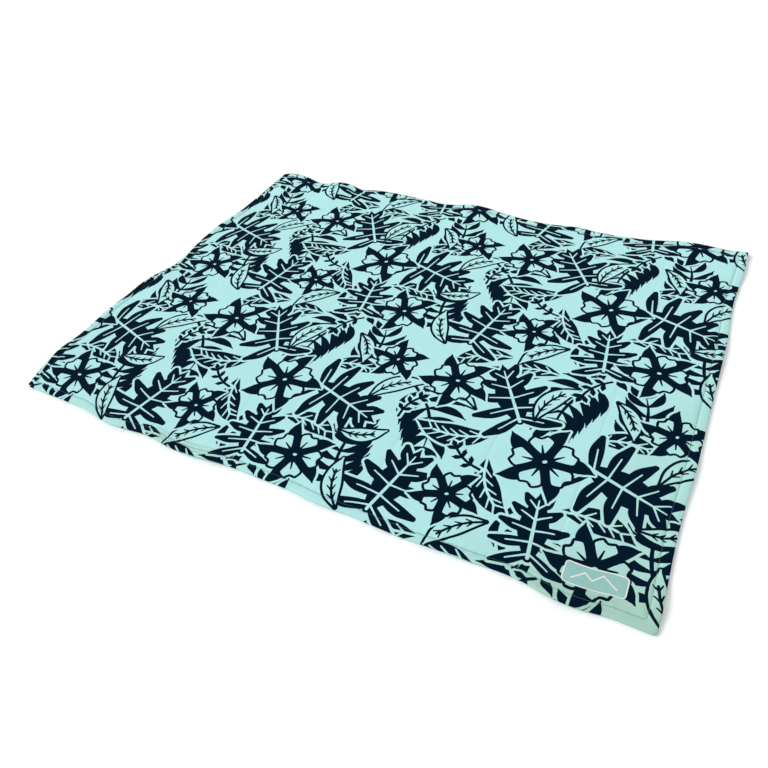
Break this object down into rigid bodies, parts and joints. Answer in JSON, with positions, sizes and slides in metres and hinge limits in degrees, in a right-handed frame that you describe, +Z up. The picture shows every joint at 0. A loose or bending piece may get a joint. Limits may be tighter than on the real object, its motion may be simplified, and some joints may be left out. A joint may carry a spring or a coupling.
{
  "type": "camp blanket",
  "caption": "Flat rectangular camp blanket with a printed top cloth, thin wadding, plain backing, a stitched hem and a small corner patch.",
  "frame": {"origin": "middle of the underside, on the ground the blanket lies on", "axes": "+X along the long side towards the patch's end, +Y along the short side away from the patch, +Z up out of the printed side"},
  "size_m": [1.7, 1.3, 0.0111],
  "materials": {
    "printed_cloth": "matt plain-weave cloth, pale mint with a dark navy botanical print",
    "wadding_fibre": "white fibre wadding",
    "backing_cloth": "plain mint brushed cloth",
    "seam_thread": "twisted polyester sewing thread, dull mint",
    "patch_twill": "fine grey-mint twill",
    "white_embroidery": "glossy white embroidery thread"
  },
  "bodies": {
    "root": {"face_cloth": "printed_cloth", "wadding": "wadding_fibre", "backing_cloth": "backing_cloth", "hem_needle_thread": "seam_thread", "hem_bobbin_thread": "seam_thread", "corner_patch": "patch_twill", "patch_border_thread": "white_embroidery", "patch_emblem_thread": "white_embroidery"}
  },
  "joints": []
}
